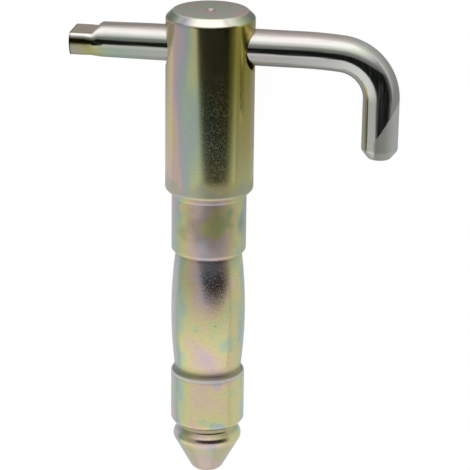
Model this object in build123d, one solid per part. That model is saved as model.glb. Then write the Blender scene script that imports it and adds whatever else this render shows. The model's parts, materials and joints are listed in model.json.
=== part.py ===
"""Support pin: a turned steel pin with a loose bar handle through its head."""
from build123d import *
from math import asin, atan, cos, degrees, radians, sin, tan
import os

os.makedirs("parts", exist_ok=True)

# Driving dimensions in millimetres. A "_Z" is a distance down the pin from the head's end face.
# A pair of numbers is a radius and such a distance, unless its comment says otherwise.

# Pin
LENGTH = 163.0
HEAD_R = 14.7
HEAD_CHAMFER = (2.4, 2.3)  # across the end face, down the side
HEAD_END_Z = 60.5
SHOULDER = (12.75, 62.45)  # where the head's lower chamfer meets the small fillet
SHANK_R = 12.5
SHANK_Z = 62.9
SHANK_END_Z = 81.9
SHANK_EDGE = (11.65, 82.9)  # foot of the chamfer at the shank's lower end
RELIEF = (10.85, 83.15)  # narrow groove below the shank
CROWN_START = (11.2, 84.0)  # the crowned barrel between shank and collar
CROWN_PEAK = (12.5, 104.3)
CROWN_END = (11.2, 124.9)
COLLAR_R = 12.5
COLLAR_Z = 126.3
COLLAR_ROUND = 0.6
COLLAR_END_Z = 143.4
COLLAR_EDGE = (11.65, 144.5)  # foot of the collar's lower chamfer
GROOVE_R = 9.8  # latch groove between collar and nose
GROOVE_TOP_Z = 144.9
GROOVE_LOW_Z = 146.6
RIM_TOP = (11.2, 148.3)
RIM_PEAK = (11.6, 149.3)
RIM_LOW = (11.55, 150.6)
NOSE_HALF_ANGLE = 28.7
NOSE_ROUND = 2.8
CENTRE_R = 1.6  # lathe centre hole in the end face
CENTRE_DEPTH = 1.9

# Cross hole for the handle
HOLE_R = 7.0
HOLE_Z = 12.6
HOLE_SINK = 0.5

# Handle bar: x runs along the bar from the pin's axis. It lies against the hole's upper wall.
BAR_R = 6.0
BAR_Z = 11.8
BOW_X = 30.6  # the straight bar ends here, in a slight bow ahead of the bend
BOW_R = 139.0
BOW_ANGLE = 5.2
BEND_R = 14.6
BEND_ANGLE = 85.1
LEG_LENGTH = 16.9  # end of the bend to the start of the leg's end chamfer
LEG_CHAMFER = (2.3, 3.0)  # in, along
PINCH_START_X = 34.6  # the bar is round from here to the head
PINCH_FLAT_X = 38.5  # the upper flat runs from the bar's end to here
PINCH_LOW_FLAT_X = 39.3
PINCH_END_X = 45.95
PINCH_HALF_W = 7.1
PINCH_TOP = 3.2  # bar centreline to the upper flat
PINCH_BOTTOM = 4.5
PINCH_TOP_SLOPE = 46.0
PINCH_LOW_SLOPE = 20.0
PINCH_END_CHAMFER = 0.7


def down(point):
    """A (radius, distance down) pair as a point of the pin's half section."""
    return (point[0], -point[1])


# Pin: half section in the XZ plane, turned about Z, end face at z = 0
tip_r = RIM_LOW[0] - (LENGTH - RIM_LOW[1]) * tan(radians(NOSE_HALF_ANGLE))

with BuildPart() as pin_part:
    with BuildSketch(Plane.XZ) as section:
        with BuildLine():
            Polyline(
                (0, -CENTRE_DEPTH),
                (CENTRE_R, 0),
                (HEAD_R - HEAD_CHAMFER[0], 0),
                (HEAD_R, -HEAD_CHAMFER[1]),
                (HEAD_R, -HEAD_END_Z),
                down(SHOULDER),
                (SHANK_R, -SHANK_Z),
                (SHANK_R, -SHANK_END_Z),
                down(SHANK_EDGE),
                down(RELIEF),
                down(CROWN_START),
            )
            ThreePointArc(down(CROWN_START), down(CROWN_PEAK), down(CROWN_END))
            Polyline(
                down(CROWN_END),
                (COLLAR_R, -COLLAR_Z),
                (COLLAR_R, -COLLAR_END_Z),
                down(COLLAR_EDGE),
                (GROOVE_R, -GROOVE_TOP_Z),
                (GROOVE_R, -GROOVE_LOW_Z),
                down(RIM_TOP),
            )
            ThreePointArc(down(RIM_TOP), down(RIM_PEAK), down(RIM_LOW))
            Polyline(
                down(RIM_LOW),
                (tip_r, -LENGTH),
                (0, -LENGTH),
                (0, -CENTRE_DEPTH),
            )
        make_face()
        collar_edge = [v for v in section.vertices() if abs(v.Y + COLLAR_Z) < 0.01]
        fillet(collar_edge, COLLAR_ROUND)
        tip_edge = [v for v in section.vertices() if abs(v.Y + LENGTH) < 0.01 and v.X > 1]
        fillet(tip_edge, NOSE_ROUND)
    revolve(axis=Axis.Z)

    # Cross hole, with each mouth broken by a small countersink
    with Locations(Location((0, 0, -HOLE_Z), (0, 90, 0))):
        Cylinder(HOLE_R, 2 * HEAD_R + 2, mode=Mode.SUBTRACT)
    for side in (-1, 1):
        with Locations(Location((side * HEAD_R, 0, -HOLE_Z), (0, side * 90, 0))):
            Cone(HOLE_R, HOLE_R + 2 * HOLE_SINK, 2 * HOLE_SINK, mode=Mode.SUBTRACT)
pin = pin_part.part


def on_arc(start, heading, radius, turned):
    """Point on an arc that starts heading degrees below +X, once it has turned down by so many degrees."""
    before, after = radians(heading), radians(heading + turned)
    move_x = radius * (sin(after) - sin(before))
    move_z = radius * (cos(after) - cos(before))
    return (start[0] + move_x, 0, start[2] + move_z)


# Handle: round bar from the pinched end through the bend to the leg's end
bar_z = -BAR_Z
bar_start = (-PINCH_START_X, 0, bar_z)
bow_start = (BOW_X, 0, bar_z)
bend_start = on_arc(bow_start, 0, BOW_R, BOW_ANGLE)
leg_start = on_arc(bend_start, BOW_ANGLE, BEND_R, BEND_ANGLE)
leg_heading = radians(BOW_ANGLE + BEND_ANGLE)
leg_way = Vector(cos(leg_heading), 0, -sin(leg_heading))
leg_end = Vector(*leg_start) + leg_way * LEG_LENGTH
with BuildPart() as handle_part:
    with BuildLine():
        Line(bar_start, bow_start)
        ThreePointArc(bow_start, on_arc(bow_start, 0, BOW_R, BOW_ANGLE / 2), bend_start)
        ThreePointArc(bend_start, on_arc(bend_start, BOW_ANGLE, BEND_R, BEND_ANGLE / 2), leg_start)
        Line(leg_start, leg_end)
    with BuildSketch(Plane(origin=bar_start, z_dir=(1, 0, 0))):
        Circle(BAR_R)
    sweep()
    end_plane = Plane(origin=leg_end, z_dir=leg_way)
    with BuildSketch(end_plane):
        Circle(BAR_R)
    with BuildSketch(end_plane.offset(LEG_CHAMFER[1])):
        Circle(BAR_R - LEG_CHAMFER[0])
    loft()

# Pinched end: the bar spreads sideways and has a flat on top and one underneath
with BuildPart() as pinch_part:
    start = Plane(origin=bar_start, x_dir=(0, 1, 0), z_dir=(-1, 0, 0))
    wide = start.offset(PINCH_FLAT_X - PINCH_START_X)
    with BuildSketch(start):
        Circle(BAR_R)
    with BuildSketch(wide):
        Ellipse(PINCH_HALF_W, BAR_R)
    loft()
    with BuildSketch(wide):
        Ellipse(PINCH_HALF_W, BAR_R)
    extrude(amount=PINCH_END_X - PINCH_FLAT_X)
    presses = (
        (1, PINCH_TOP, PINCH_FLAT_X, PINCH_TOP_SLOPE),
        (-1, PINCH_BOTTOM, PINCH_LOW_FLAT_X, PINCH_LOW_SLOPE),
    )
    for side, depth, flat_x, slope in presses:
        rise = BAR_R + 1 - depth
        with BuildSketch(Plane.XZ):
            with BuildLine():
                Polyline(
                    (-PINCH_END_X - 1, bar_z + side * depth),
                    (-flat_x, bar_z + side * depth),
                    (-flat_x + rise / tan(radians(slope)), bar_z + side * (depth + rise)),
                    (-PINCH_END_X - 1, bar_z + side * (depth + rise)),
                    close=True,
                )
            make_face()
        extrude(amount=10, both=True, mode=Mode.SUBTRACT)
    end_edges = pinch_part.faces().sort_by(Axis.X)[0].edges()
    chamfer(end_edges, PINCH_END_CHAMFER)
handle = handle_part.part + pinch_part.part

# The pin can't stand, so it lies: on the head's lower edge and on the collar's, rolled until the leg touches.
pitch = degrees(atan((HEAD_R - COLLAR_R) / (COLLAR_END_Z - HEAD_END_Z)))
reach = (HEAD_END_Z + leg_end.Z) * tan(radians(pitch))
roll = degrees(asin((HEAD_R - BAR_R + reach) / leg_end.X))
lying = Rotation(pitch, 0, 0) * Rotation(0, roll, 0) * Rotation(-90, 0, 0)
pin = lying * pin
handle = lying * handle
box = Compound([pin, handle]).bounding_box()
to_floor = Location((-box.center().X, -box.center().Y, -box.min.Z))
pin = to_floor * pin
handle = to_floor * handle

export_step(pin, "parts/pin_body.step")
export_step(handle, "parts/handle.step")

# Placement, for the record: the pin's end face centre, the way down the pin, and the way along the bar
end_face = to_floor.position
down_pin = (lying * Location((0, 0, -1))).position
along_bar = (lying * Location((1, 0, 0))).position
print("end face centre", tuple(end_face))
print("down the pin", tuple(down_pin))
print("along the bar", tuple(along_bar))
print("volumes", pin.volume, handle.volume)
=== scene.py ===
"""Support pin lying on a pale floor: a turned and yellow chromated pin with a loose bent bar in its head."""

import json
import math

import bmesh
import bpy
from mathutils import Matrix, Vector


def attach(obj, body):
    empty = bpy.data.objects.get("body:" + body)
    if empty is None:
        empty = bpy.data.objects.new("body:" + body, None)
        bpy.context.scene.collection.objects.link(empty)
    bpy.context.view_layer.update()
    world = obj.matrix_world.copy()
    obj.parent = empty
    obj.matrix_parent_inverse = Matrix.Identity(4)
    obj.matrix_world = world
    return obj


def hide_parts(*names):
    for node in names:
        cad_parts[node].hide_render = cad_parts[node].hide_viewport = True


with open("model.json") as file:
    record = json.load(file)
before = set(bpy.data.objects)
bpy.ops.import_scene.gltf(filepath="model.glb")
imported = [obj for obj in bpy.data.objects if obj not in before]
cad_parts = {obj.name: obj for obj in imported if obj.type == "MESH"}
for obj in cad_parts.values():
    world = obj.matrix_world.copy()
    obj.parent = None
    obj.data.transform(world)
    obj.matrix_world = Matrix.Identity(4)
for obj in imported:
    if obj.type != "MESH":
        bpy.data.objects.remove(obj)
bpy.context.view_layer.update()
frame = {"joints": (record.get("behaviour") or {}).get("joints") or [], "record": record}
MM = 0.001

# Where the pin lies. Its own axes: x along the handle bar, z up the pin, zero at the middle of the end face.
mounts = {mount["name"]: mount for mount in frame["record"]["mounts"]}
SHANK_MIDDLE = 72.4 * MM  # from the end face to the middle of the shank's mount
down_pin = Vector(mounts["shank"]["axis"]).normalized()
along_bar = Vector(frame["joints"][0]["axis"]).normalized()
end_face = Vector(mounts["shank"]["pos_m"]) - down_pin * SHANK_MIDDLE
across = (-down_pin).cross(along_bar)
lying = Matrix((along_bar, across, -down_pin)).transposed().to_4x4()
lying.translation = end_face

# Pin sizes in millimetres: (radius, distance down from the end face, rounding of that corner)
PIN_CORNERS = (
    (0.0, 1.9, 0.0),
    (1.6, 0.0, 0.12),
    (12.3, 0.0, 0.3),
    (14.7, 2.3, 0.45),
    (14.7, 22.0, 0.0),
    (14.7, 60.5, 0.4),
    (12.75, 62.45, 0.12),
    (12.5, 62.9, 0.2),
    (12.5, 81.9, 0.3),
    (11.65, 82.9, 0.15),
    (10.85, 83.15, 0.1),
    (11.2, 84.0, 0.2),
)
CROWN = ((11.2, 84.0), (12.5, 104.3), (11.2, 124.9))
NOSE_CORNERS = (
    (11.2, 124.9, 0.9),
    (12.5, 126.3, 0.2),
    (12.5, 143.4, 0.3),
    (11.65, 144.5, 0.15),
    (9.8, 144.9, 0.2),
    (9.8, 146.6, 0.3),
    (11.2, 148.3, 0.3),
    (11.6, 149.3, 0.5),
    (11.55, 150.6, 0.3),
    (4.76, 162.99, 1.65),
    (0.0, 162.99, 0.0),
)
HEAD_R = 14.7
HOLE_R = 7.0
HOLE_Z = 12.6
HOLE_SINK = 0.5
MOUTH_ROUND = 0.3

# Handle sizes in millimetres: x runs along the bar from the pin's axis
BAR_R = 5.999
BAR_Z = 11.8
BOW_X = 30.6
BOW_R = 139.0
BOW_ANGLE = math.radians(5.2)
BEND_R = 14.6
BEND_ANGLE = math.radians(85.1)
LEG_LENGTH = 16.9
LEG_CHAMFER = (2.3, 3.0)  # in, along
PINCH_START_X = 34.6
PINCH_FLAT_X = 38.5
PINCH_LOW_FLAT_X = 39.3
PINCH_END_X = 45.93
PINCH_HALF_W = 7.1
PINCH_TOP = 3.2
PINCH_BOTTOM = 4.5
PINCH_TOP_SLOPE = 46.0
PINCH_LOW_SLOPE = 20.0
PINCH_SQUARE = 0.3  # how much flatter the vice leaves its flanks
PINCH_TOP_SOFT = 1.5  # width of the soft corners beside each flat
PINCH_LOW_SOFT = 0.9
PINCH_PROUD = 0.05  # of both flats, over the two depths above
LEG_ROUND = 0.4
PINCH_END_ROUND = 0.7

SHARP_ANGLE = math.radians(32)


def add_piece(name, bm, body, *nodes):
    """Makes the finished mesh an object on its body, in place of the CAD nodes."""
    for face in bm.faces:
        face.smooth = True
    for edge in bm.edges:
        edge.smooth = not edge.is_manifold or edge.calc_face_angle(0) < SHARP_ANGLE
    bm.transform(lying)
    mesh = bpy.data.meshes.new(name)
    bm.to_mesh(mesh)
    bm.free()
    piece = bpy.data.objects.new(name, mesh)
    bpy.context.scene.collection.objects.link(piece)
    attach(piece, body)
    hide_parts(*nodes)
    return piece


def arc_between(bm, first, top, last, steps):
    """Adds the crown's arc in the xz plane, from three points given as (radius, distance down)."""
    (r0, z0), (r1, z1), (r2, z2) = first, top, last
    half = (z2 - z0) / 2
    sag = r1 - (r0 + r2) / 2
    radius = (half ** 2 + sag ** 2) / (2 * sag)
    centre = Vector(((r1 - radius) * MM, 0, -(z0 + z2) / 2 * MM))
    turn = 2 * math.asin(half / radius)
    start = bm.verts.new((r0 * MM, 0, -z0 * MM))
    bmesh.ops.spin(bm, geom=[start], cent=centre, axis=(0, 1, 0), angle=turn, steps=steps)


def held(corners):
    """The corners with a ring added just past each rounding, so that the flats between them shade flat."""
    rings = []
    for (r0, z0, round0), (r1, z1, round1) in zip(corners, corners[1:]):
        rings.append((r0, z0, round0))
        run = math.hypot(r1 - r0, z1 - z0)
        past0, past1 = 1.5 * round0 + 0.15, 1.5 * round1 + 0.15
        if run > past0 + past1 + 0.2:
            for part in (past0 / run, 1 - past1 / run):
                rings.append((r0 + (r1 - r0) * part, z0 + (z1 - z0) * part, 0.0))
    return rings + [corners[-1]]


def on_ring(vert, radius, z):
    """Whether the point is on the circle of this radius, this far down the pin."""
    close = 0.002 * MM
    return abs(vert.co.z + z * MM) < close and abs(vert.co.xy.length - radius * MM) < close


def turned_pin():
    """The pin as the lathe leaves it: a half section spun round the axis, its corners broken."""
    bm = bmesh.new()
    for corners in (held(PIN_CORNERS), held(NOSE_CORNERS)):
        verts = [bm.verts.new((r * MM, 0, -z * MM)) for r, z, _ in corners]
        for pair in zip(verts, verts[1:]):
            bm.edges.new(pair)
    arc_between(bm, *CROWN, steps=24)
    bmesh.ops.remove_doubles(bm, verts=bm.verts, dist=0.01 * MM)
    bmesh.ops.spin(bm, geom=bm.verts[:] + bm.edges[:], cent=(0, 0, 0), axis=(0, 0, 1),
                   angle=math.tau, steps=180, use_merge=True)
    bmesh.ops.remove_doubles(bm, verts=bm.verts, dist=0.001 * MM)
    for radius, z, rounding in PIN_CORNERS + NOSE_CORNERS:
        if not rounding:
            continue
        ring = [e for e in bm.edges if all(on_ring(v, radius, z) for v in e.verts)]
        bmesh.ops.bevel(bm, geom=ring, offset=rounding * MM, offset_type="OFFSET", segments=4,
                        profile=0.5, affect="EDGES", material=-1, clamp_overlap=True)
    bmesh.ops.recalc_face_normals(bm, faces=bm.faces)
    return bm


def hole_cutter():
    """The drill that makes the cross hole, flared where the countersink breaks each mouth."""
    bm = bmesh.new()
    reach = HEAD_R + 3
    flare = HEAD_R - HOLE_SINK
    corners = ((-reach, 0), (-reach, HOLE_R + reach - flare), (-flare, HOLE_R),
               (flare, HOLE_R), (reach, HOLE_R + reach - flare), (reach, 0))
    verts = [bm.verts.new((x * MM, 0, (r - HOLE_Z) * MM)) for x, r in corners]
    for pair in zip(verts, verts[1:]):
        bm.edges.new(pair)
    bmesh.ops.spin(bm, geom=bm.verts[:] + bm.edges[:], cent=(0, 0, -HOLE_Z * MM), axis=(1, 0, 0),
                   angle=math.tau, steps=96, use_merge=True)
    bmesh.ops.remove_doubles(bm, verts=bm.verts, dist=0.001 * MM)
    bmesh.ops.recalc_face_normals(bm, faces=bm.faces)
    return bm


def cut(bm, tool):
    """bm with the tool's shape taken out of it."""
    things = []
    for name, source in (("blank", bm), ("drill", tool)):
        mesh = bpy.data.meshes.new(name)
        source.to_mesh(mesh)
        source.free()
        thing = bpy.data.objects.new(name, mesh)
        bpy.context.scene.collection.objects.link(thing)
        things.append(thing)
    blank, drill = things
    boolean = blank.modifiers.new("cross_hole", "BOOLEAN")
    boolean.operation = "DIFFERENCE"
    boolean.solver = "EXACT"
    boolean.object = drill
    bpy.context.view_layer.update()
    done = bmesh.new()
    done.from_mesh(blank.evaluated_get(bpy.context.evaluated_depsgraph_get()).to_mesh())
    for thing in things:
        bpy.data.objects.remove(thing)
    return done


def ramp(value, low, high):
    """0 at low, 1 at high, straight between them."""
    return min(1.0, max(0.0, (value - low) / (high - low)))


def soft_least(a, b, softness):
    """The smaller of two values, with the corner between them rounded."""
    gap = max(0.0, softness - abs(a - b))
    return min(a, b) - gap * gap / (4 * softness)


def pressed(x, y, z):
    """A point of the round bar, moved to where pressing its end leaves it."""
    spread = ramp(-x, PINCH_START_X, PINCH_FLAT_X)
    squared = ramp(-x, PINCH_FLAT_X - 0.3, PINCH_FLAT_X + 2.2)
    y = math.copysign(BAR_R * abs(y / BAR_R) ** (1 - PINCH_SQUARE * squared), y)
    wide = BAR_R + (PINCH_HALF_W - BAR_R) * spread * spread * (3 - 2 * spread)
    top_run = (BAR_R - PINCH_TOP) / math.tan(math.radians(PINCH_TOP_SLOPE))
    low_run = (BAR_R - PINCH_BOTTOM) / math.tan(math.radians(PINCH_LOW_SLOPE))
    top = PINCH_TOP + (BAR_R - PINCH_TOP) * (1 - ramp(-x, PINCH_FLAT_X - top_run, PINCH_FLAT_X))
    low = PINCH_BOTTOM + (BAR_R - PINCH_BOTTOM) * (1 - ramp(-x, PINCH_LOW_FLAT_X - low_run, PINCH_LOW_FLAT_X))
    z = soft_least(z, top + PINCH_PROUD, PINCH_TOP_SOFT)
    z = -soft_least(-z, low + PINCH_PROUD, PINCH_LOW_SOFT)
    return x, y * wide / BAR_R, z


def bent_handle():
    """The bar: bowed and bent down to the leg on one side, and run to the pressed end on the other."""
    bm = bmesh.new()
    bar_z = -BAR_Z * MM
    place = Matrix.Translation((BOW_X * MM, 0, bar_z)) @ Matrix.Rotation(math.pi / 2, 4, "Y")
    bmesh.ops.create_circle(bm, cap_ends=False, radius=BAR_R * MM, segments=96, matrix=place)
    first = bm.edges[:]

    def extend(edges, move):
        """Extrudes a ring of edges and moves it."""
        made = bmesh.ops.extrude_edge_only(bm, edges=edges)["geom"]
        bmesh.ops.translate(bm, verts=[g for g in made if isinstance(g, bmesh.types.BMVert)], vec=move)
        return [g for g in made if isinstance(g, bmesh.types.BMEdge)]

    def turn_down(edges, centre, angle, steps):
        """Spins a ring of edges down about a centre in the xz plane."""
        made = bmesh.ops.spin(bm, geom=edges, cent=centre, axis=(0, 1, 0), angle=angle, steps=steps)
        return [g for g in made["geom_last"] if isinstance(g, bmesh.types.BMEdge)]

    bow_centre = Vector((BOW_X * MM, 0, bar_z - BOW_R * MM))
    outward = Vector((math.sin(BOW_ANGLE), 0, math.cos(BOW_ANGLE)))
    bend_centre = bow_centre + outward * (BOW_R - BEND_R) * MM
    heading = BOW_ANGLE + BEND_ANGLE
    leg_way = Vector((math.cos(heading), 0, -math.sin(heading)))
    edges = turn_down(first, bow_centre, BOW_ANGLE, 6)
    edges = turn_down(edges, bend_centre, BEND_ANGLE, 40)
    edges = extend(edges, leg_way * (LEG_LENGTH - 0.8) * MM)
    leg_ring = extend(edges, leg_way * 0.8 * MM)
    end_ring = extend(leg_ring, leg_way * LEG_CHAMFER[1] * MM)
    end_verts = list({v for e in end_ring for v in e.verts})
    middle = sum((v.co for v in end_verts), Vector()) / len(end_verts)
    shrink = 1 - LEG_CHAMFER[0] / BAR_R
    bmesh.ops.scale(bm, verts=end_verts, vec=(shrink, shrink, shrink), space=Matrix.Translation(-middle))
    bmesh.ops.edgeloop_fill(bm, edges=end_ring)

    pressed_steps = 60
    edges = first
    x = BOW_X
    for stop in (20.0, 0.0, -20.0, -PINCH_START_X):
        edges = extend(edges, ((stop - x) * MM, 0, 0))
        x = stop
    step = (PINCH_END_X - PINCH_START_X) / pressed_steps
    for _ in range(pressed_steps):
        edges = extend(edges, (-step * MM, 0, 0))
    bmesh.ops.edgeloop_fill(bm, edges=edges)
    for v in bm.verts:
        x, y, z = v.co.x / MM, v.co.y / MM, v.co.z / MM + BAR_Z
        if x < -PINCH_START_X:
            x, y, z = pressed(x, y, z)
            v.co = (x * MM, y * MM, (z - BAR_Z) * MM)
    for ring, rounding in ((leg_ring + end_ring, LEG_ROUND), (edges, PINCH_END_ROUND)):
        bmesh.ops.bevel(bm, geom=ring, offset=rounding * MM, offset_type="OFFSET", segments=3,
                        profile=0.5, affect="EDGES", material=-1)
    bmesh.ops.recalc_face_normals(bm, faces=bm.faces)
    return bm


def round_mouths(bm):
    """Breaks the edges where the cross hole comes out through the head."""
    near = (HOLE_R + 3) * MM
    mouths = []
    for edge in bm.edges:
        middle = (edge.verts[0].co + edge.verts[1].co) / 2
        off_axis = math.hypot(middle.y, middle.z + HOLE_Z * MM)
        on_head = all(abs(v.co.xy.length - HEAD_R * MM) < 0.02 * MM for v in edge.verts)
        if on_head and off_axis < near and edge.is_manifold and edge.calc_face_angle(0) > SHARP_ANGLE:
            mouths.append(edge)
    bmesh.ops.bevel(bm, geom=mouths, offset=MOUTH_ROUND * MM, offset_type="OFFSET", segments=3,
                    profile=0.5, affect="EDGES", material=-1, clamp_overlap=True)
    return bm


pin = add_piece("pin_turned", round_mouths(cut(turned_pin(), hole_cutter())), "pin", "pin_body")
handle = add_piece("handle_bent_bar", bent_handle(), "handle_bar", "handle")


# Materials
CAMERA_TURN = math.radians(9.2)  # the camera's place round the pin, from square on to the bar towards the leg
TO_RIGHT = (math.cos(CAMERA_TURN), math.sin(CAMERA_TURN), 0)  # the camera's right, in the pin's own axes


def linear(hex_colour):
    """An sRGB hex colour as linear RGBA."""
    parts = [int(hex_colour[i:i + 2], 16) / 255 for i in (1, 3, 5)]
    return tuple(c / 12.92 if c <= 0.04045 else ((c + 0.055) / 1.055) ** 2.4 for c in parts) + (1.0,)


def node(tree, kind, links=(), inputs=(), stops=(), out=0, **settings):
    """Adds a node with its settings, fixed inputs, links from sockets and ramp stops, and gives its output.

    A Mix node goes by number: 0 is its factor, 2 and 3 its numbers, 6 and 7 its colours, and its colour is
    output 2.
    """
    made = tree.nodes.new("ShaderNode" + kind)
    for key, value in settings.items():
        setattr(made, key, value)
    for key, value in dict(inputs).items():
        made.inputs[key].default_value = value
    for key, socket in dict(links).items():
        tree.links.new(socket, made.inputs[key])
    for number, (position, colour) in enumerate(stops):
        elements = made.color_ramp.elements
        element = elements[number] if number < 2 else elements.new(position)
        element.position = position
        element.color = linear(colour)
    return made.outputs[out] if made.outputs else None


def new_material(name):
    """A material with an empty node tree, and the tree."""
    material = bpy.data.materials.new(name)
    material.use_nodes = True
    tree = material.node_tree
    tree.nodes.clear()
    return material, tree


def place_in(tree, axes):
    """Where a point of the surface is in these axes, in millimetres."""
    place = node(tree, "TexCoord", out="Object")
    return node(tree, "Mapping", {"Vector": place},
                {"Location": axes.translation, "Rotation": axes.to_euler(), "Scale": (MM, MM, MM)},
                vector_type="TEXTURE")


# Pin: zinc plate with a yellow chromate film on turned steel. The film's colours run from pink over yellow
# and green to blue as it thickens, in soft streaks along the pin, with painted sheen making them bluer or
# more golden at its two edges as seen from the camera.
CHAMFER_END = -2.3  # heights are in millimetres, up from the end face
HEAD_END = -60.5
COLLAR_TOP = -126.3
RIM = -150.6
TIP = -163.0
# spots where the bath dwelt or ran off: where, how far each reaches, and what it adds to the film
SPOTS = (
    ((6.2, -10.9, -70), 8.0, 0.52),
    ((-7.2, -10.2, -65), 4.5, -0.3),
    ((4.4, -11.5, -111), 9.0, 0.36),
    ((4.0, -11.5, -136), 15.0, 0.25),
    ((5.0, -11.4, -127), 5.0, -0.3),
    ((3.0, -11.9, -142.5), 6.0, 0.35),
)
SHANK_GREYING = (2.5, -12.2, -71)

material, tree = new_material("yellow_chromated_zinc_on_turned_steel")
own = place_in(tree, lying)
height = node(tree, "SeparateXYZ", {0: own}, out=2)
flat = node(tree, "VectorMath", {0: own}, {1: (1, 1, 0)}, operation="MULTIPLY")
radius = node(tree, "VectorMath", {0: flat}, out="Value", operation="LENGTH")
round_way = node(tree, "VectorMath", {0: flat}, operation="NORMALIZE")
side = node(tree, "VectorMath", {0: round_way}, {1: TO_RIGHT}, out="Value", operation="DOT_PRODUCT")
on_head = node(tree, "MapRange", {"Value": height}, {"From Min": HEAD_END - 1.0, "From Max": HEAD_END + 0.5})

# painted sheen: the film's colour is shifted towards the pin's two edges as seen from the camera, as a
# glancing view shifts it, except at the head's right
square = node(tree, "Math", {0: side, 1: side}, operation="MULTIPLY")
on_left = node(tree, "MapRange", {"Value": side}, {"From Min": 0.15, "From Max": -0.15})
head_gain = node(tree, "Math", {0: on_left}, {1: 1.1, 2: -0.15}, operation="MULTIPLY_ADD")
low_gain = node(tree, "Math", {0: on_left}, {1: 0.25, 2: 0.7}, operation="MULTIPLY_ADD")
gain = node(tree, "Mix", {0: on_head, 2: low_gain, 3: head_gain})
start = node(tree, "MapRange", {"Value": on_head}, {"To Min": 0.0, "To Max": 0.46})

# streaks 30 mm long and 10 mm wide on the head, and blotches 12 mm long and 8 mm wide below it
streak_place = node(tree, "Mapping", {"Vector": own}, {"Scale": (1 / 10, 1 / 10, 1 / 30)})
streaks = node(tree, "TexNoise", {"Vector": streak_place}, {"Detail": 1.0, "Scale": 1.0})
blotch_place = node(tree, "Mapping", {"Vector": own}, {"Scale": (1 / 8, 1 / 8, 1 / 12)})
blotches = node(tree, "TexNoise", {"Vector": blotch_place}, {"Detail": 1.2, "Scale": 1.0})
calm = node(tree, "MapRange", {"Value": streaks}, {"To Min": -0.45, "To Max": 0.45})
lively = node(tree, "MapRange", {"Value": blotches}, {"To Min": -0.52, "To Max": 0.52})
spread = node(tree, "Mix", {0: on_head, 2: lively, 3: calm})
spread = node(tree, "Math", {0: spread, 1: start}, operation="ADD")

# the spots' outlines wander by up to 7 mm
wander = node(tree, "TexNoise", {"Vector": own}, {"Scale": 0.16, "Detail": 1.0}, out="Color")
wander = node(tree, "VectorMath", {0: wander}, {1: (0.5, 0.5, 0.5)}, operation="SUBTRACT")
uneven = node(tree, "VectorMath", {0: wander, 2: own}, {1: (14, 14, 14)}, operation="MULTIPLY_ADD")
uneven_height = node(tree, "SeparateXYZ", {0: uneven}, out=2)
for spot, reach, change in SPOTS:
    away = node(tree, "VectorMath", {0: uneven}, {1: spot}, out="Value", operation="DISTANCE")
    added = node(tree, "MapRange", {"Value": away},
                 {"From Min": reach, "From Max": 0.2 * reach, "To Max": change},
                 interpolation_type="SMOOTHSTEP")
    spread = node(tree, "Math", {0: spread, 1: added}, operation="ADD")
thickness_and_edge_sheen = node(tree, "Math", {0: square, 1: gain, 2: spread}, operation="MULTIPLY_ADD")
cycle = node(tree, "Math", {0: thickness_and_edge_sheen}, operation="FRACT")
colour = node(tree, "ValToRGB", {0: cycle}, stops=(
    (0.0, "#e4ccc6"), (0.16, "#e8d3b4"), (0.36, "#e4dca2"), (0.5, "#d4dcaa"), (0.66, "#bdd0c0"),
    (0.84, "#c8c6ce"), (1.0, "#e4ccc6")))

# a golden olive film right of the head's middle, partly painted shade, darkest round the hole's mouth
olive_and_shade = node(tree, "MapRange", {"Value": side}, {"From Min": 0.2, "From Max": 0.45},
             interpolation_type="SMOOTHSTEP")
olive_and_shade_edge = node(tree, "MapRange", {"Value": side}, {"From Min": 0.99, "From Max": 0.85},
                  interpolation_type="SMOOTHSTEP")
olive_and_shade_high = node(tree, "MapRange", {"Value": height},
                  {"From Min": HEAD_END + 0.5, "From Max": -16, "To Min": 0.15, "To Max": 1.0})
for part in (olive_and_shade_edge, olive_and_shade_high, on_head):
    olive_and_shade = node(tree, "Math", {0: olive_and_shade, 1: part}, operation="MULTIPLY")
colour = node(tree, "Mix", {0: olive_and_shade, 6: colour}, {7: linear("#c8bd5e")}, out=2, data_type="RGBA")

# painted highlight and sheen: the chamfer is painted nearly white in front, as seen from the camera, and
# violet and green towards its two sides
above_side = node(tree, "MapRange", {"Value": height},
                  {"From Min": CHAMFER_END - 0.4, "From Max": CHAMFER_END + 0.2})
across_face = node(tree, "MapRange", {"Value": side}, {"From Min": -1})
chamfer_highlight = node(tree, "ValToRGB", {0: across_face}, stops=(
    (0.02, "#a3ad97"), (0.12, "#b9c2b0"), (0.2, "#cfcedd"), (0.3, "#f4f0e2"), (0.74, "#f4f0e2"),
    (0.86, "#cfdbb4"), (0.97, "#a3ad97")))
colour = node(tree, "Mix", {0: above_side, 6: colour, 7: chamfer_highlight}, out=2, data_type="RGBA")

# the end face is duller, with its turning marks in irregular rings, and darker in its lathe centre
on_end = node(tree, "MapRange", {"Value": height}, {"From Min": -0.4, "From Max": -0.15})
rings = node(tree, "TexNoise", {"W": radius}, {"Scale": 0.7, "Detail": 2.0}, noise_dimensions="1D")
marked = node(tree, "Math", {0: rings, 1: blotches}, operation="ADD")
marked = node(tree, "Math", {0: marked}, {1: 0.5}, operation="MULTIPLY")
blush = node(tree, "ValToRGB", {0: marked}, stops=((0.4, "#cfe6c6"), (0.5, "#e0e1d0"), (0.6, "#efd2d1")))
colour = node(tree, "Mix", {0: on_end, 6: colour, 7: blush}, out=2, data_type="RGBA")
in_centre = node(tree, "MapRange", {"Value": radius}, {"From Min": 1.75, "From Max": 1.45})
in_centre = node(tree, "Math", {0: in_centre, 1: above_side}, operation="MULTIPLY")
colour = node(tree, "Mix", {0: in_centre, 6: colour}, {7: linear("#c4b0aa")}, out=2, data_type="RGBA")

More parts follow.
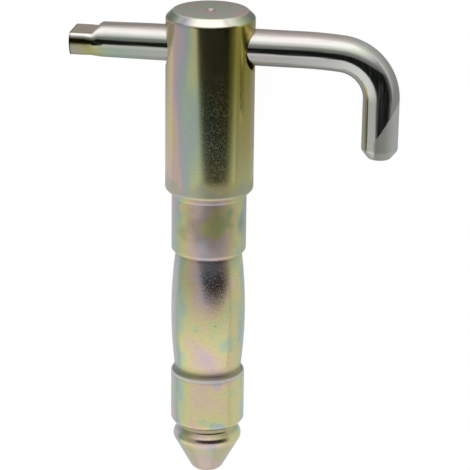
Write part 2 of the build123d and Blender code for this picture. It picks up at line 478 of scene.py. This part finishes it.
# the head's last 4 mm, handled most, are duller and greyer
last = node(tree, "MapRange", {"Value": uneven_height},
            {"From Min": HEAD_END + 4.5, "From Max": HEAD_END + 2.9})
last = node(tree, "Math", {0: last, 1: on_head}, operation="MULTIPLY")
handled = node(tree, "Math", {0: last}, {1: 0.65}, operation="MULTIPLY")
colour = node(tree, "Mix", {0: handled, 6: colour}, {7: linear("#c6ccb8")}, out=2, data_type="RGBA")

# the middle of the shank is greyer
away = node(tree, "VectorMath", {0: uneven}, {1: SHANK_GREYING}, out="Value", operation="DISTANCE")
greying = node(tree, "MapRange", {"Value": away}, {"From Min": 13, "From Max": 3},
             interpolation_type="SMOOTHSTEP")
colour = node(tree, "Mix", {0: greying, 6: colour}, {7: linear("#d0d4c8")}, out=2, data_type="RGBA",
              blend_type="MULTIPLY")

# the cone is yellow-green below its rim and pink towards its tip
nose = node(tree, "MapRange", {"Value": uneven_height}, {"From Min": RIM + 0.1, "From Max": TIP})
tinge = node(tree, "ValToRGB", {0: nose}, stops=((0.3, "#c4c29a"), (0.55, "#cdb9b2"), (0.9, "#d0c0b8")))
on_cone = node(tree, "MapRange", {"Value": height},
               {"From Min": RIM - 0.2, "From Max": RIM - 1.9, "To Max": 0.75})
colour = node(tree, "Mix", {0: on_cone, 6: colour, 7: tinge}, out=2, data_type="RGBA")

# grime and painted shade darken the corner above the collar and the latch groove; the stops share out the
# heights from -120 to -150
low = node(tree, "MapRange", {"Value": height}, {"From Min": -120, "From Max": -150})
grime_and_shade = node(tree, "ValToRGB", {0: low}, stops=(
    (0.11, "#000000"), (0.14, "#b0b0b0"), (0.19, "#c0c0c0"), (0.2, "#000000"), (0.81, "#000000"),
    (0.825, "#a0a0a0"), (0.91, "#a0a0a0"), (0.94, "#000000")))
colour = node(tree, "Mix", {0: grime_and_shade, 6: colour}, {7: linear("#6f7060")}, out=2, data_type="RGBA")

# pits half a millimetre across, thinly scattered
pit_spots = node(tree, "TexVoronoi", {"Vector": own}, {"Scale": 0.15}, out="Distance")
pit = node(tree, "MapRange", {"Value": pit_spots}, {"From Min": 0.05, "From Max": 0.025})
colour = node(tree, "Mix", {0: pit, 6: colour}, {7: linear("#8f8874")}, out=2, data_type="RGBA")

# painted highlight: a white line is painted along the collar's upper edge
low_edge = node(tree, "MapRange", {"Value": height},
                {"From Min": COLLAR_TOP - 0.55, "From Max": COLLAR_TOP - 0.3})
top_edge = node(tree, "MapRange", {"Value": height},
                {"From Min": COLLAR_TOP + 0.45, "From Max": COLLAR_TOP + 0.2})
collar_edge_highlight = node(tree, "Math", {0: low_edge, 1: top_edge}, operation="MULTIPLY")
colour = node(tree, "Mix", {0: collar_edge_highlight, 6: colour}, {7: linear("#ffffff")}, out=2, data_type="RGBA")

# grain half a millimetre wide and a little longer, coarser than the real one, and rougher below the head
grain_place = node(tree, "Mapping", {"Vector": own}, {"Scale": (2.2, 2.2, 1.4)})
grain = node(tree, "TexNoise", {"Vector": grain_place}, {"Scale": 1.0, "Detail": 2.0})
coarse = node(tree, "MapRange", {"Value": height},
              {"From Min": -56, "From Max": -84, "To Min": 0.12, "To Max": 0.4})
bump = node(tree, "Bump", {"Height": grain, "Strength": coarse}, {"Distance": 0.05 * MM})

# pale specks in the grain, where the film hides the metal; the stops here and for the roughness share out
# the heights from 0 to -150
down = node(tree, "MapRange", {"Value": height}, {"From Min": 0, "From Max": -150})
sparkle = node(tree, "ValToRGB", {0: down}, stops=(
    (0.1, "#505050"), (0.2, "#787878"), (0.37, "#909090"), (0.55, "#848484"), (0.57, "#a0a0a0"),
    (0.66, "#989898"), (0.7, "#7c7c7c")))
speck = node(tree, "MapRange", {"Value": grain},
             {"From Min": 0.5, "From Max": 0.68, "To Min": 0.0, "To Max": -1.0})
metal = node(tree, "Math", {0: sparkle, 1: speck}, {2: 1.0}, operation="MULTIPLY_ADD")
# the painted highlight on the collar's edge is less metallic
metal = node(tree, "Math", {0: collar_edge_highlight, 2: metal}, {1: -0.7}, operation="MULTIPLY_ADD")

# satin on the head, dull at its lower end and on the shank, satin again below, and dull in the corner above
# the collar
rough = node(tree, "ValToRGB", {0: down}, stops=(
    (0.0, "#6c6c6c"), (0.03, "#6c6c6c"), (0.36, "#707070"), (0.385, "#a8a8a8"), (0.42, "#9c9c9c"),
    (0.53, "#949494"), (0.56, "#9c9c9c"), (0.58, "#8a8a8a"), (0.61, "#686868"), (0.7, "#747474"),
    (0.81, "#7c7c7c"), (0.825, "#c4c4c4"), (0.844, "#c4c4c4"), (0.85, "#808080")))
rough = node(tree, "Math", {0: on_end, 2: rough}, {1: 0.18}, operation="MULTIPLY_ADD")
shader = node(tree, "BsdfPrincipled",
              {"Base Color": colour, "Roughness": rough, "Normal": bump, "Metallic": metal})
node(tree, "OutputMaterial", {"Surface": shader})
pin.data.materials.append(material)

# Handle: the same plating on bright drawn bar, where the film is so thin that it leaves a breath of colour
material, tree = new_material("thin_chromated_zinc_on_drawn_bar")
own = place_in(tree, lying)
x, y, z = node(tree, "SeparateXYZ", {0: own}).node.outputs
tints = node(tree, "TexNoise", {"Vector": own}, {"Scale": 0.13, "Detail": 2.0})
film = node(tree, "ValToRGB", {0: tints}, stops=(
    (0.34, "#e3dbde"), (0.46, "#e2e1da"), (0.55, "#d9dfd5"), (0.66, "#e1dbc6")))

# painted sheen and shade over the film's tint: above its middle it's green, and brown-pink along its top
upper = node(tree, "MapRange", {"Value": z}, {"From Min": -12, "From Max": -5.8})
top_tint_and_sheen = node(tree, "ValToRGB", {0: upper}, stops=(
    (0.0, "#e2e0d8"), (0.3, "#cfdcc6"), (0.6, "#e8e6e4"), (0.9, "#e0ccc6")))
colour = node(tree, "Mix", {6: film, 7: top_tint_and_sheen}, {0: 0.6}, out=2, data_type="RGBA")

# painted reflections: the pressed end is olive on its flank, white above that, and brown on its flat
pressed_end_reflections = node(tree, "ValToRGB", {0: upper}, stops=(
    (0.1, "#8c8448"), (0.25, "#a89c58"), (0.36, "#f2f2ec"), (0.5, "#f2f2ec"), (0.54, "#dccbb2")))
on_pressed = node(tree, "MapRange", {"Value": x}, {"From Min": -37, "From Max": -39})
colour = node(tree, "Mix", {0: on_pressed, 6: colour, 7: pressed_end_reflections}, out=2, data_type="RGBA")

# painted shade: the underside is painted greyer, and olive at the pressed end
underside_shade = node(tree, "MapRange", {"Value": z}, {"From Min": -10.5, "From Max": -13.5, "To Max": 0.9})
along = node(tree, "MapRange", {"Value": x}, {"From Min": -46, "From Max": 50})
greys = node(tree, "ValToRGB", {0: along}, stops=(
    (0.02, "#a6a294"), (0.08, "#a9ab6c"), (0.15, "#93a898"), (0.3, "#a6a9a2"), (0.6, "#ada8a9"),
    (0.75, "#a8aba6"), (0.9, "#bcbeb9"), (1.0, "#d6d8d2")))
colour = node(tree, "Mix", {0: underside_shade, 6: colour, 7: greys}, out=2, data_type="RGBA")

# draw lines half a millimetre apart: along the bar, then down the leg
bar_place = node(tree, "Mapping", {"Vector": own}, {"Scale": (0.06, 2.0, 2.0)})
leg_place = node(tree, "Mapping", {"Vector": own}, {"Scale": (2.0, 2.0, 0.06)})
bar_lines = node(tree, "TexNoise", {"Vector": bar_place}, {"Scale": 1.0, "Detail": 2.0})
leg_lines = node(tree, "TexNoise", {"Vector": leg_place}, {"Scale": 1.0, "Detail": 2.0})
on_leg = node(tree, "MapRange", {"Value": x}, {"From Min": 38, "From Max": 50})
lines = node(tree, "Mix", {0: on_leg, 2: bar_lines, 3: leg_lines})
bump = node(tree, "Bump", {"Height": lines}, {"Strength": 0.4, "Distance": 0.05 * MM})
scored = node(tree, "MapRange", {"Value": lines},
              {"From Min": 0.56, "From Max": 0.68, "To Min": 0.0, "To Max": -0.12})

# painted reflection: the leg's end is painted pale and matt on its outer side, up to a slanting edge
outward = node(tree, "VectorMath", {0: own}, {1: TO_RIGHT}, out="Value", operation="DOT_PRODUCT")
edge_z = node(tree, "MapRange", {"Value": outward},
              {"From Min": 55.5, "From Max": 61.8, "To Min": -36.9, "To Max": -26.5}, clamp=False)
pale_reflection = node(tree, "Math", {0: edge_z, 1: z}, operation="SUBTRACT")
pale_reflection = node(tree, "MapRange", {"Value": pale_reflection}, {"From Min": -0.3, "From Max": 0.5})
outer = node(tree, "MapRange", {"Value": outward}, {"From Min": 53.2, "From Max": 54.0})
front = node(tree, "MapRange", {"Value": y}, {"From Min": 0.5, "From Max": -1.0})
for part in (outer, front):
    pale_reflection = node(tree, "Math", {0: pale_reflection, 1: part}, operation="MULTIPLY")
pale_reflection_depth = node(tree, "MapRange", {"Value": outward}, {"From Min": 54.5, "From Max": 60.5})
pale_reflection_tint = node(tree, "ValToRGB", {0: pale_reflection_depth}, stops=(
    (0.0, "#a6aaa0"), (0.4, "#bcc2b6"), (1.0, "#f6f8f2")))
colour = node(tree, "Mix", {0: pale_reflection, 6: colour, 7: pale_reflection_tint}, out=2, data_type="RGBA")
# the painted reflection on the leg's end is hardly metal and rougher
metal = node(tree, "MapRange", {"Value": pale_reflection}, {"To Min": 1.0, "To Max": 0.15})
metal = node(tree, "Math", {0: metal, 1: scored}, operation="ADD")
rough = node(tree, "MapRange", {"Value": pale_reflection}, {"To Min": 0.12, "To Max": 0.4})
shader = node(tree, "BsdfPrincipled",
              {"Base Color": colour, "Roughness": rough, "Normal": bump, "Metallic": metal})
node(tree, "OutputMaterial", {"Surface": shader})
handle.data.materials.append(material)

# Camera: it looks down on the lying pin, from the head's side and from the bent leg's side
CAMERA_DISTANCE = 779.1 * MM
CAMERA_ELEVATION = math.radians(19.707)  # towards the head, from square on to the pin
CAMERA_ROLL = math.radians(0.727)
CAMERA_RIGHT = 8.8 * MM  # its aim, from the middle of the end face
CAMERA_UP = -73.102 * MM
CAMERA_LENS = 183.829787  # on a sensor 36 wide
right = lying.to_3x3() @ Vector(TO_RIGHT)
facing = right.cross(-down_pin)
up_pin = -down_pin
look = -facing * math.cos(CAMERA_ELEVATION) - up_pin * math.sin(CAMERA_ELEVATION)
view_up = up_pin * math.cos(CAMERA_ELEVATION) - facing * math.sin(CAMERA_ELEVATION)
camera_right = right * math.cos(CAMERA_ROLL) + view_up * math.sin(CAMERA_ROLL)
camera_up = view_up * math.cos(CAMERA_ROLL) - right * math.sin(CAMERA_ROLL)
camera_data = bpy.data.cameras.new("camera")
camera_data.sensor_width = 36.0
camera_data.lens = CAMERA_LENS
camera_data.clip_start = 0.05
camera_data.clip_end = 20.0
camera = bpy.data.objects.new("camera", camera_data)
bpy.context.scene.collection.objects.link(camera)
camera.matrix_world = Matrix((camera_right, camera_up, -look)).transposed().to_4x4()
aim = end_face + right * CAMERA_RIGHT + view_up * CAMERA_UP
camera.matrix_world.translation = aim - look * CAMERA_DISTANCE
bpy.context.scene.camera = camera


# Studio
def flat_stage(name, material, reach, place=Matrix()):
    """A square sheet of the studio, which isn't part of the object. It reaches this far from its middle."""
    bm = bmesh.new()
    bmesh.ops.create_grid(bm, x_segments=1, y_segments=1, size=reach, matrix=place)
    mesh = bpy.data.meshes.new(name)
    bm.to_mesh(mesh)
    bm.free()
    sheet = bpy.data.objects.new(name, mesh)
    bpy.context.scene.collection.objects.link(sheet)
    mesh.materials.append(material)


# Floor: a pale board. The camera sees it white but for the pin's faint shadow. The metal sees it darkest
# behind the head, and lit by the large light beyond.
GLOW_TURN = math.radians(18)  # its shades run this much askew of the pin
GLOW_RUN = (-68 * MM, 202 * MM)  # from the nose's side to beyond the head
WHITE = 1.08  # a little over 1, so that the board stays white in the noise
material, tree = new_material("white_board")
rays = node(tree, "LightPath").node.outputs
board = node(tree, "BsdfDiffuse", inputs={"Color": linear("#e6e6e6")})
place = node(tree, "TexCoord", out="Object")
turned = node(tree, "Mapping", {"Vector": place}, {"Rotation": (0, 0, GLOW_TURN)})
turned = node(tree, "SeparateXYZ", {0: turned}, out=1)
beyond = node(tree, "MapRange", {"Value": turned}, {"From Min": GLOW_RUN[0], "From Max": GLOW_RUN[1]})
glow = node(tree, "ValToRGB", {0: beyond}, stops=(
    (0.05, "#eaeaea"), (0.3, "#d2d2d2"), (0.38, "#adadad"), (0.5, "#969696"), (0.54, "#969696"),
    (0.58, "#b4b4b4"), (0.67, "#d8d8d8"), (0.86, "#ffffff")))
aside = node(tree, "SeparateXYZ", {0: place})
aside = node(tree, "Math", {0: aside}, operation="ABSOLUTE")
aside = node(tree, "MapRange", {"Value": aside},
             {"From Min": 60 * MM, "From Max": 350 * MM, "To Min": 1.0, "To Max": 0.72})
glow = node(tree, "Math", {0: glow, 1: aside}, operation="MULTIPLY")
strength = node(tree, "Mix", {0: rays["Is Camera Ray"], 2: glow}, {3: WHITE})
lit = node(tree, "Emission", {"Strength": strength}, {"Color": (1, 1, 1, 1)})
in_metal = node(tree, "Math", {0: rays["Is Glossy Ray"], 1: rays["Is Transmission Ray"]},
                operation="MAXIMUM")
in_metal = node(tree, "Math", {0: in_metal}, {1: 0.75}, operation="MULTIPLY")
# a tenth of what the camera sees is the board's own shade, which gives the faint shadow
share = node(tree, "Math", {0: rays["Is Camera Ray"], 2: in_metal}, {1: 0.9}, operation="MULTIPLY_ADD")
mix = node(tree, "MixShader", {0: share, 1: board, 2: lit})
node(tree, "OutputMaterial", {"Surface": mix})
flat_stage("floor", material, reach=3.0)

# Flag: a black card in front of the pin, which its polished flank shows as a dark band. The camera looks
# through it. Its own axes: x to the camera's right, y up the pin. Sizes are in millimetres from its middle.
FLAG_DISTANCE = 325.0
FLAG_LEFT = (-290.0, -200.0)  # fully clear, fully black
FLAG_RIGHT = (1300.0, 330.0)
FLAG_LOW = (-203.0, -163.0)  # where x is zero
FLAG_FALL = 0.13  # its lower edge falls this much to the right
FLAG_CURVE = 0.0011  # and curves up at the left
FLAG_HIGH = (-12.0, 240.0)  # it thins upwards between these heights
FLAG_RISE = 0.25  # its upper edge rises this much to the right of the pin
material, tree = new_material("black_card")
card = Matrix((right, up_pin, facing)).transposed().to_4x4()
card.translation = end_face + facing * FLAG_DISTANCE * MM
x, y, _ = node(tree, "SeparateXYZ", {0: place_in(tree, card)}).node.outputs
to_left = node(tree, "Math", {0: x}, {1: 0.0}, operation="MINIMUM")
curve = node(tree, "Math", {0: to_left, 1: to_left}, operation="MULTIPLY")
above = node(tree, "Math", {0: curve, 2: y}, {1: -FLAG_CURVE}, operation="MULTIPLY_ADD")
above = node(tree, "Math", {0: x, 2: above}, {1: FLAG_FALL}, operation="MULTIPLY_ADD")
by_camera = node(tree, "LightPath", out="Is Camera Ray")
cover = node(tree, "Math", {1: by_camera}, {0: 1.0}, operation="SUBTRACT")
for distance, (clear, full) in ((x, FLAG_LEFT), (x, FLAG_RIGHT), (above, FLAG_LOW)):
    edge = node(tree, "MapRange", {"Value": distance}, {"From Min": clear, "From Max": full})
    cover = node(tree, "Math", {0: edge, 1: cover}, operation="MULTIPLY")
to_right = node(tree, "Math", {0: x}, {1: 0.0}, operation="MAXIMUM")
level = node(tree, "Math", {0: to_right, 2: y}, {1: -FLAG_RISE}, operation="MULTIPLY_ADD")
level = node(tree, "MapRange", {"Value": level}, {"From Min": FLAG_HIGH[0], "From Max": FLAG_HIGH[1]})
fade = node(tree, "ValToRGB", {0: level}, stops=(
    (0.2, "#ffffff"), (0.28, "#bcbcbc"), (0.52, "#aaaaaa"), (1.0, "#000000")))
cover = node(tree, "Math", {0: fade, 1: cover}, operation="MULTIPLY")
clear = node(tree, "BsdfTransparent")
black = node(tree, "BsdfDiffuse", inputs={"Color": linear("#262b28")})
mix = node(tree, "MixShader", {0: cover, 1: clear, 2: black})
node(tree, "OutputMaterial", {"Surface": mix})
flat_stage("flag", material, reach=2.4, place=card)

# World: a pale tent with a large soft light beyond the head, and lighter again towards the nose
TENT = 0.38
LIGHT = 1.22
LIGHT_TILT = math.radians(12)  # from the pin's own axis towards the camera
LIGHT_REACH = (math.radians(52), math.radians(18))  # from its middle: where it starts, where it's full
NOSE_LIGHT = 0.48
NOSE_REACH = (-math.sin(math.radians(12)), -math.sin(math.radians(28)))  # starts, is full: towards the nose
world = bpy.data.worlds.new("studio_tent")
bpy.context.scene.world = world
world.use_nodes = True
tree = world.node_tree
tree.nodes.clear()
light_way = up_pin * math.cos(LIGHT_TILT) + facing * math.sin(LIGHT_TILT)
way = node(tree, "TexCoord", out="Generated")
nearness = node(tree, "VectorMath", {0: way}, {1: light_way}, out="Value", operation="DOT_PRODUCT")
from_light = node(tree, "Math", {0: nearness}, operation="ARCCOSINE")
light = node(tree, "MapRange", {"Value": from_light},
             {"From Min": LIGHT_REACH[0], "From Max": LIGHT_REACH[1], "To Min": TENT, "To Max": LIGHT})
rise = node(tree, "VectorMath", {0: way}, {1: up_pin}, out="Value", operation="DOT_PRODUCT")
low = node(tree, "MapRange", {"Value": rise},
           {"From Min": NOSE_REACH[0], "From Max": NOSE_REACH[1], "To Max": NOSE_LIGHT})
strength = node(tree, "Math", {0: light, 1: low}, operation="ADD")
background = node(tree, "Background", {"Strength": strength}, {"Color": (1, 1, 1, 1)})
node(tree, "OutputWorld", {"Surface": background})

bpy.context.scene.view_settings.view_transform = "Standard"
